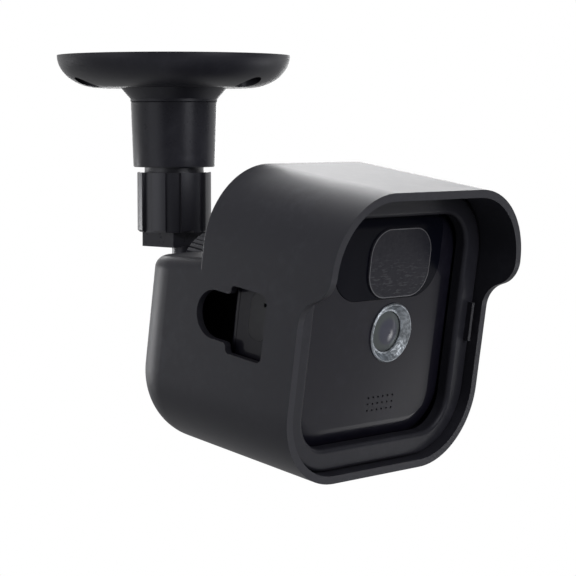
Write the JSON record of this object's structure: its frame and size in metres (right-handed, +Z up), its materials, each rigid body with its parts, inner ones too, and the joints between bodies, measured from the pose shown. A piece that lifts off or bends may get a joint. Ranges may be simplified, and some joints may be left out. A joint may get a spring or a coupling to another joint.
{
  "type": "ceiling camera bracket",
  "caption": "Ceiling mount for a small security camera: round screw plate, short swivel post, ball joint with clamp ring, hooded housing and snap-in front frame round a square battery camera.",
  "frame": {"origin": "centre of the plate's flat ring that lies on the ceiling", "axes": "+Z up through the ceiling, the camera looks along -Y and, at rest, a little down, +X is to the left of somebody who stands in front of the camera's lens and faces it"},
  "size_m": [0.078, 0.1357, 0.1152],
  "materials": {
    "bracket_plastic": "fine satin moulding",
    "post_plastic": "smooth satin moulding",
    "nut_plastic": "satin moulding",
    "slip_plastic": "natural slippery plastic",
    "zinc_steel": "zinc plated",
    "ball_metal": "black coated",
    "housing_plastic": "fine matte moulding",
    "frame_plastic": "satin moulding",
    "camera_plastic": "fine matte moulding",
    "dark_gloss": "polished dark plastic",
    "window_film": "dark lens plastic with fine cells",
    "lens_metal": "satin anodised",
    "lens_glass": "coated glass",
    "barrel_black": "dull black",
    "bung_rubber": "matte rubber",
    "board": "solder mask",
    "cell_can": "plain sleeve"
  },
  "bodies": {
    "root": {"ceiling_plate": "bracket_plastic", "post_sleeve": "post_plastic", "post_washer": "zinc_steel", "post_screw": "zinc_steel", "thrust_washer": "slip_plastic", "friction_washer": "slip_plastic"},
    "lock_nut": {"lock_nut": "nut_plastic"},
    "swivel": {"swivel_block": "post_plastic", "ball_stud": "ball_metal"},
    "seat": {"ball_seat": "slip_plastic"},
    "housing": {"housing_shell": "housing_plastic", "camera_face": "camera_plastic", "sensor_panel": "dark_gloss", "motion_window": "window_film", "lens_ring": "lens_metal", "lens_glass": "lens_glass", "lens_barrel": "barrel_black", "lens_element": "lens_glass", "back_cover": "camera_plastic", "port_bung": "bung_rubber", "circuit_board": "board", "image_sensor": "dark_gloss", "motion_sensor": "zinc_steel", "speaker": "barrel_black", "board_screws": "zinc_steel", "battery_tray": "camera_plastic", "battery_left": "cell_can", "battery_right": "cell_can", "battery_contacts": "zinc_steel"},
    "clamp_ring": {"clamp_ring": "nut_plastic"},
    "front_frame": {"front_frame": "frame_plastic"}
  },
  "joints": [
    {"name": "nut_turn", "type": "hinge", "parent": "root", "child": "lock_nut", "pos_m": [0, 0, -0.043], "axis": [0, 0, 1], "range_deg": [-90, 0]},
    {"name": "pan", "type": "hinge", "parent": "root", "child": "swivel", "pos_m": [0, 0, -0.045], "axis": [0, 0, 1], "continuous": true},
    {"name": "tilt", "type": "hinge", "parent": "swivel", "child": "seat", "pos_m": [0, -0.021, -0.0636], "axis": [1, 0, 0], "range_deg": [-22, 11]},
    {"name": "roll", "type": "hinge", "parent": "seat", "child": "housing", "pos_m": [0, -0.021, -0.0636], "axis": [0, 0.9887, 0.15], "range_deg": [-45, 45]},
    {"name": "ring_turn", "type": "hinge", "parent": "housing", "child": "clamp_ring", "pos_m": [0, -0.021, -0.0636], "axis": [0, 0.9887, 0.15], "range_deg": [0, 90]},
    {"name": "frame_pull", "type": "slide", "parent": "housing", "child": "front_frame", "axis": [0, -0.9887, -0.15], "range_m": [0, 0.014]}
  ]
}
